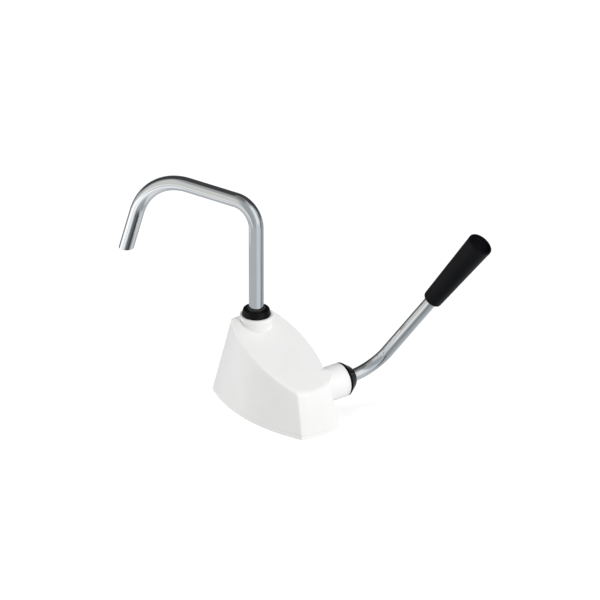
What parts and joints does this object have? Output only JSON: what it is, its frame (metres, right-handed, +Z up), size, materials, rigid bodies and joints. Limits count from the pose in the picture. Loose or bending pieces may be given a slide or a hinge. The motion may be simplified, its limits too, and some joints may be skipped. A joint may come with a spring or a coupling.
{
  "type": "rotary hand transfer pump",
  "caption": "Deck-mounted water pump with a wedge-shaped white body, a swivelling bent spout and a side lever that rocks a vane inside.",
  "frame": {"origin": "centre of the base plate's underside, at deck level", "axes": "+X towards the low nose of the housing, +Y to the side where the lever comes out, +Z up"},
  "size_m": [0.3503, 0.2123, 0.2185],
  "materials": {
    "white_plastic": "smooth glossy white moulded plastic",
    "black_plastic": "glossy black moulded plastic",
    "grip_plastic": "satin black moulded plastic",
    "polished_steel": "polished stainless steel tube",
    "steel": "plain stainless steel hardware",
    "brass": "turned brass",
    "pump_plastic": "natural moulded acetal",
    "bearing_plastic": "machined bearing plastic",
    "rubber": "black nitrile rubber",
    "packing": "greased braided packing"
  },
  "bodies": {
    "pump_body": {"housing": "white_plastic", "base_plate": "white_plastic", "deck_inserts": "brass", "housing_screws": "steel", "body_screws": "steel", "port_seal": "rubber", "pump_casing": "pump_plastic", "casing_cover": "pump_plastic", "cover_gasket": "rubber", "cover_screws": "steel", "valve_plate": "pump_plastic", "front_gasket": "rubber", "rear_gasket": "rubber", "flap_hinge_pins": "steel", "valve_chest": "pump_plastic", "valve_screws": "steel", "inner_shaft_bush": "bearing_plastic", "cover_shaft_bush": "bearing_plastic", "stub_shaft_bush": "bearing_plastic", "shaft_seal": "rubber", "gland_packing": "packing", "shaft_gland_nut": "black_plastic", "spout_bush": "bearing_plastic", "spout_seals": "rubber", "spout_washer": "steel", "spout_gland_nut": "black_plastic"},
    "lever": {"lever_tube": "polished_steel", "shaft_plug": "pump_plastic", "vane": "pump_plastic", "vane_wiper": "rubber", "vane_cross_pin": "steel", "lever_grip": "grip_plastic"},
    "spout": {"spout_tube": "polished_steel", "spout_collar": "polished_steel"},
    "inlet_flap_upper": {"inlet_flap_upper": "rubber"},
    "inlet_flap_lower": {"inlet_flap_lower": "rubber"},
    "outlet_flap_upper": {"outlet_flap_upper": "rubber"},
    "outlet_flap_lower": {"outlet_flap_lower": "rubber"}
  },
  "joints": [
    {"name": "lever_swing", "type": "hinge", "parent": "pump_body", "child": "lever", "pos_m": [0.04698, 0, 0.036], "axis": [0, 1, 0], "range_deg": [-60, 0]},
    {"name": "spout_swivel", "type": "hinge", "parent": "pump_body", "child": "spout", "pos_m": [-0.03265, 0, 0.09123], "axis": [0, 0, 1], "range_deg": [-80, 180]},
    {"name": "inlet_flap_upper_hinge", "type": "hinge", "parent": "pump_body", "child": "inlet_flap_upper", "pos_m": [-0.01097, -0.0082, 0.06564], "axis": [0, -1, 0], "range_deg": [0, 28]},
    {"name": "inlet_flap_lower_hinge", "type": "hinge", "parent": "pump_body", "child": "inlet_flap_lower", "pos_m": [-0.01097, -0.0082, 0.01935], "axis": [0, -1, 0], "range_deg": [0, 28]},
    {"name": "outlet_flap_upper_hinge", "type": "hinge", "parent": "pump_body", "child": "outlet_flap_upper", "pos_m": [-0.01767, 0.0082, 0.06564], "axis": [0, 1, 0], "range_deg": [0, 28]},
    {"name": "outlet_flap_lower_hinge", "type": "hinge", "parent": "pump_body", "child": "outlet_flap_lower", "pos_m": [-0.01767, 0.0082, 0.01935], "axis": [0, 1, 0], "range_deg": [0, 28]}
  ]
}
